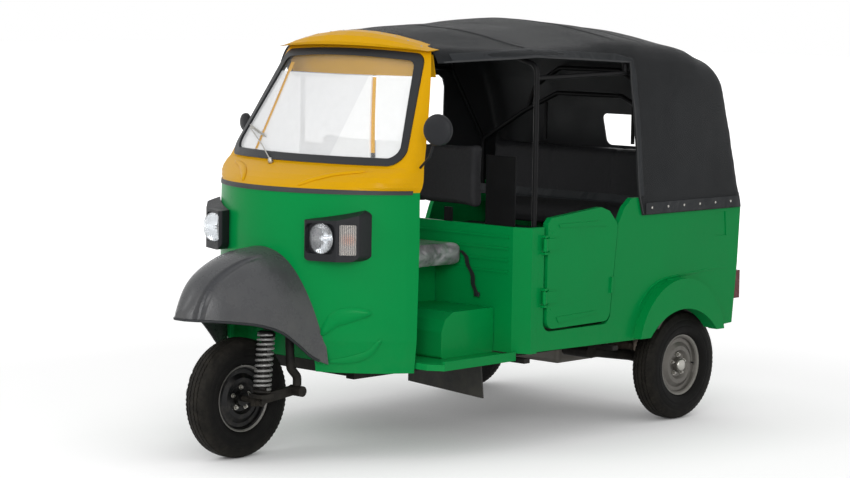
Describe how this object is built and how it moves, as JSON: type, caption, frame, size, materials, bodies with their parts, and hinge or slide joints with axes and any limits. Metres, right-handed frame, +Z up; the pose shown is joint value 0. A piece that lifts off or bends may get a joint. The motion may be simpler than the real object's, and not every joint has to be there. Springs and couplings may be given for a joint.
{
  "type": "auto rickshaw",
  "caption": "Soft-topped passenger auto rickshaw with a raked cab, a steered front wheel on a leading link, an open driver's doorway, a hinged side door and a rear engine lid.",
  "frame": {"origin": "on the ground, on the centre plane, midway between the nose guard's tip and the tail lamps", "axes": "+Z up, -Y forwards (the way the vehicle drives), +X to the vehicle's left"},
  "size_m": [1.53, 2.7585, 1.7848],
  "materials": {
    "green_paint": "gloss enamel",
    "yellow_paint": "gloss enamel",
    "guard_paint": "worn satin grey",
    "grey_paint": "satin",
    "black_steel": "satin black",
    "rim_paint": "silver enamel",
    "bare_metal": "as cast",
    "exhaust_steel": "dull, heat tinted",
    "seal_rubber": "matt",
    "tyre": "matt",
    "black_plastic": "grained",
    "clear_lens": "fluted",
    "red_lens": "gloss",
    "screen_glass": "clear",
    "seat_cover": "grained vinyl",
    "floor_mat": "ribbed mat",
    "roof_cloth": "coated canvas"
  },
  "bodies": {
    "body": {"cab_lower": "green_paint", "cab_upper": "yellow_paint", "windscreen_seal": "seal_rubber", "windscreen_glass": "screen_glass", "roof_visor": "yellow_paint", "nose_guard": "guard_paint", "wheel_housing": "green_paint", "driver_floor": "black_steel", "bulkhead": "green_paint", "side_panel_left": "green_paint", "side_panel_right": "green_paint", "rear_panel": "green_paint", "passenger_floor": "floor_mat", "passenger_seat_box": "grey_paint", "passenger_cushion": "seat_cover", "passenger_backrest": "seat_cover", "driver_seat_base": "grey_paint", "driver_cushion": "seat_cover", "driver_backrest": "seat_cover", "partition_panels": "black_steel", "dash_shelf": "black_plastic", "chassis_frame": "black_steel", "engine_block": "bare_metal", "rear_suspension": "black_steel", "exhaust": "exhaust_steel", "headlamp_housings": "black_plastic", "lamp_lenses": "clear_lens", "tail_lamps": "red_lens", "mirrors": "black_plastic", "splash_flap": "seal_rubber", "soft_roof": "roof_cloth", "roof_frame": "black_steel"},
    "steering": {"steering_fork": "black_steel", "handlebar": "black_steel", "handle_grips": "seal_rubber", "front_link": "black_steel", "front_spring": "black_steel"},
    "front_wheel": {"front_tyre": "tyre", "front_rim": "rim_paint"},
    "rear_wheel_left": {"rear_tyre_left": "tyre", "rear_rim_left": "rim_paint"},
    "rear_wheel_right": {"rear_tyre_right": "tyre", "rear_rim_right": "rim_paint"},
    "door": {"passenger_door": "green_paint"},
    "lid": {"engine_lid": "green_paint"}
  },
  "joints": [
    {"name": "steering_turn", "type": "hinge", "parent": "body", "child": "steering", "pos_m": [0, -0.84936, 0.6], "axis": [0, 0.4067, 0.9135], "range_deg": [-35, 35]},
    {"name": "front_wheel_spin", "type": "hinge", "parent": "steering", "child": "front_wheel", "pos_m": [0, -1.0665, 0.245], "axis": [1, 0, 0], "continuous": true},
    {"name": "rear_left_spin", "type": "hinge", "parent": "body", "child": "rear_wheel_left", "pos_m": [0.615, 1.0335, 0.245], "axis": [1, 0, 0], "continuous": true},
    {"name": "rear_right_spin", "type": "hinge", "parent": "body", "child": "rear_wheel_right", "pos_m": [-0.615, 1.0335, 0.245], "axis": [1, 0, 0], "continuous": true},
    {"name": "door_hinge", "type": "hinge", "parent": "body", "child": "door", "pos_m": [0.736, -0.0155, 0.75], "axis": [0, 0, -1], "range_deg": [0, 95]},
    {"name": "lid_hinge", "type": "hinge", "parent": "body", "child": "lid", "pos_m": [0, 1.37165, 0.884], "axis": [1, 0, 0], "range_deg": [0, 100]}
  ]
}
